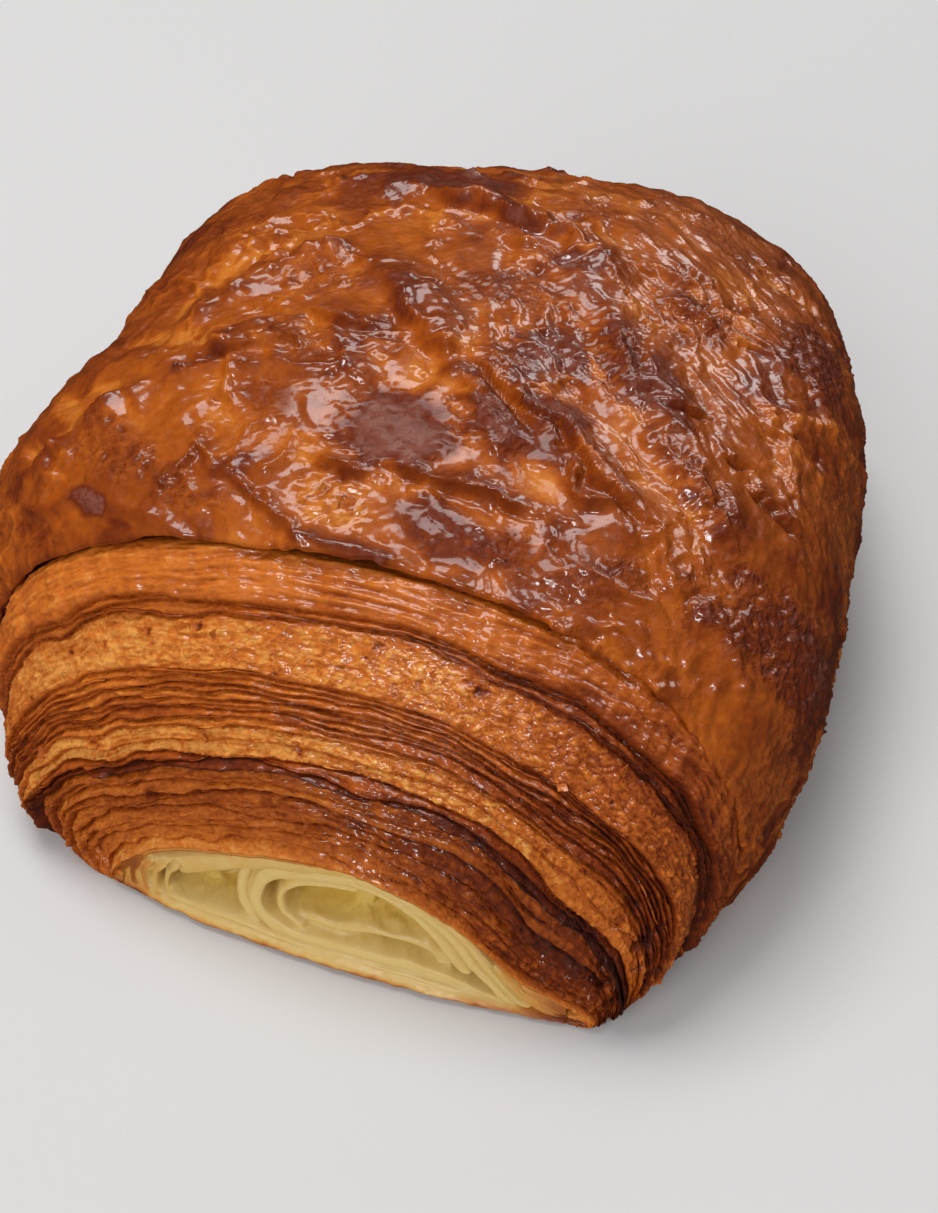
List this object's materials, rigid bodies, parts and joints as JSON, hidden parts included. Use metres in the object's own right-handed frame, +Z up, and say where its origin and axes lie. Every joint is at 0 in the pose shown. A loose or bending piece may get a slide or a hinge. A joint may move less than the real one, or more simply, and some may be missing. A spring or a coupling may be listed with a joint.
{
  "type": "pain au chocolat",
  "caption": "Baked roll of layered pastry with a glossy folded crust, layered ends that open in a flat mouth, and a flat underside to rest on.",
  "frame": {"origin": "middle of the flat underside, under the middle of the roll's overall box", "axes": "+Z up from the underside, +Y along the roll away from the shown mouth, +X across the roll to the right seen from the shown mouth"},
  "size_m": [0.0932, 0.1094, 0.0512],
  "materials": {
    "crust": "amber to dark brown baked skin, glossy from its egg wash, with wrinkles and small blisters",
    "layers": "golden to red-brown cut edges of thin dough layers, satin and porous",
    "crumb": "pale creamy yellow inner dough, soft and moist"
  },
  "bodies": {
    "root": {"pastry": "crust"}
  },
  "joints": []
}
